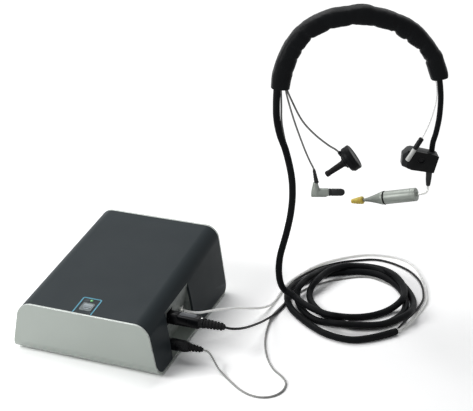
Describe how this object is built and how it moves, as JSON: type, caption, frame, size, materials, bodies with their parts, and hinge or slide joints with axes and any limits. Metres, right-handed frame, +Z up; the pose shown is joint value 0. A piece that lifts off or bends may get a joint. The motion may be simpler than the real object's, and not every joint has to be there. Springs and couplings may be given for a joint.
{
  "type": "tympanometer",
  "caption": "Table-top tympanometer: wedge-shaped base unit with a side connector recess, leads in a loose coil, and a padded headset with an ear probe and two small phones",
  "frame": {"origin": "on the table under the centre of the base unit's footprint, level with the bottoms of its rubber feet", "axes": "+Z up; +Y to the back of the base unit; +X to its right, the side with the connector recess, the leads and the headset; the front panel with the start key above it faces -Y"},
  "size_m": [0.3745, 0.328, 0.3282],
  "materials": {
    "cover_paint": "satin",
    "silver_sheet": "satin",
    "panel_sheet": "satin",
    "black_plastic": "satin",
    "holder_plate": "satin",
    "bright_metal": "polished",
    "spring_steel": "brushed",
    "circuit_board": "satin",
    "brass_pillars": "satin",
    "pump_plastic": "matt",
    "dark_casing": "matt",
    "lamp": "gloss",
    "key_face": "matt",
    "black_rubber": "matt",
    "black_cable": "satin",
    "braid": "woven",
    "grey_cable": "satin",
    "clear_tube": "satin",
    "band_cloth": "soft, slightly shiny",
    "probe_silver": "satin",
    "tip_rubber": "matt",
    "black_gloss": "gloss",
    "white_plastic": "gloss"
  },
  "bodies": {
    "unit": {"top_cover": "cover_paint", "base_tray": "silver_sheet", "connector_panel": "panel_sheet", "probe_socket": "black_plastic", "phone_socket": "black_plastic", "air_fitting": "bright_metal", "usb_socket": "spring_steel", "power_socket": "black_plastic", "main_board": "circuit_board", "board_standoffs": "brass_pillars", "pump_body": "pump_plastic", "pump_motor": "dark_casing", "pressure_sensor": "pump_plastic", "release_valve": "dark_casing", "valve_spring": "spring_steel", "key_board": "circuit_board", "key_spacers": "brass_pillars", "key_switch": "black_plastic", "status_led": "lamp", "light_pipe": "lamp", "corner_blocks": "panel_sheet", "cover_screws": "bright_metal", "rubber_feet": "black_rubber", "probe_plug": "black_plastic", "probe_plug_boot": "black_rubber", "phone_plug": "black_plastic", "phone_plug_boot": "black_rubber", "probe_cable": "black_cable", "phone_cable": "grey_cable", "air_tube": "clear_tube", "cable_coil": "braid", "cable_sleeve": "braid", "headband_spring": "spring_steel", "headband_pad": "band_cloth", "probe_sleeve": "braid", "probe_holder": "black_plastic", "holder_cover": "holder_plate", "probe_strain_relief": "black_rubber", "probe_lead": "bright_metal", "probe_rear_cap": "probe_silver", "probe_body": "probe_silver", "probe_core": "black_plastic", "probe_o_ring": "black_rubber", "air_joint": "black_gloss", "air_joint_sleeve": "white_plastic", "air_lead": "clear_tube", "elbow_strain_relief": "black_plastic", "elbow_phone": "probe_silver", "elbow_cable": "grey_cable", "disc_phone": "black_plastic", "disc_phone_nozzle": "black_rubber", "disc_cable": "grey_cable", "side_cable": "grey_cable"},
    "key": {"start_key": "key_face"},
    "piston": {"pump_piston": "spring_steel"},
    "plunger": {"valve_plunger": "spring_steel"},
    "cone": {"nose_cone": "probe_silver"},
    "tip": {"ear_tip": "tip_rubber"},
    "phone_tip": {"elbow_phone_tip": "black_rubber"}
  },
  "joints": [
    {"name": "key_press", "type": "slide", "parent": "unit", "child": "key", "axis": [0, -0.1084, 0.9941], "range_m": [-0.0005, 0], "stiffness_N_per_m": 500},
    {"name": "pump_stroke", "type": "slide", "parent": "unit", "child": "piston", "axis": [0, 1, 0], "range_m": [-0.014, 0.008]},
    {"name": "valve_pull", "type": "slide", "parent": "unit", "child": "plunger", "axis": [0, 0, 1], "range_m": [-0.0015, 0], "stiffness_N_per_m": 500, "deforming": ["valve_spring"]},
    {"name": "cone_pull", "type": "slide", "parent": "unit", "child": "cone", "axis": [-0.9527, 0.0833, -0.2924], "range_m": [0, 0.018]},
    {"name": "tip_pull", "type": "slide", "parent": "cone", "child": "tip", "axis": [-0.9527, 0.0833, -0.2924], "range_m": [0, 0.012]},
    {"name": "phone_tip_pull", "type": "slide", "parent": "unit", "child": "phone_tip", "axis": [0.9397, 0.342, 0], "range_m": [0, 0.014]}
  ]
}
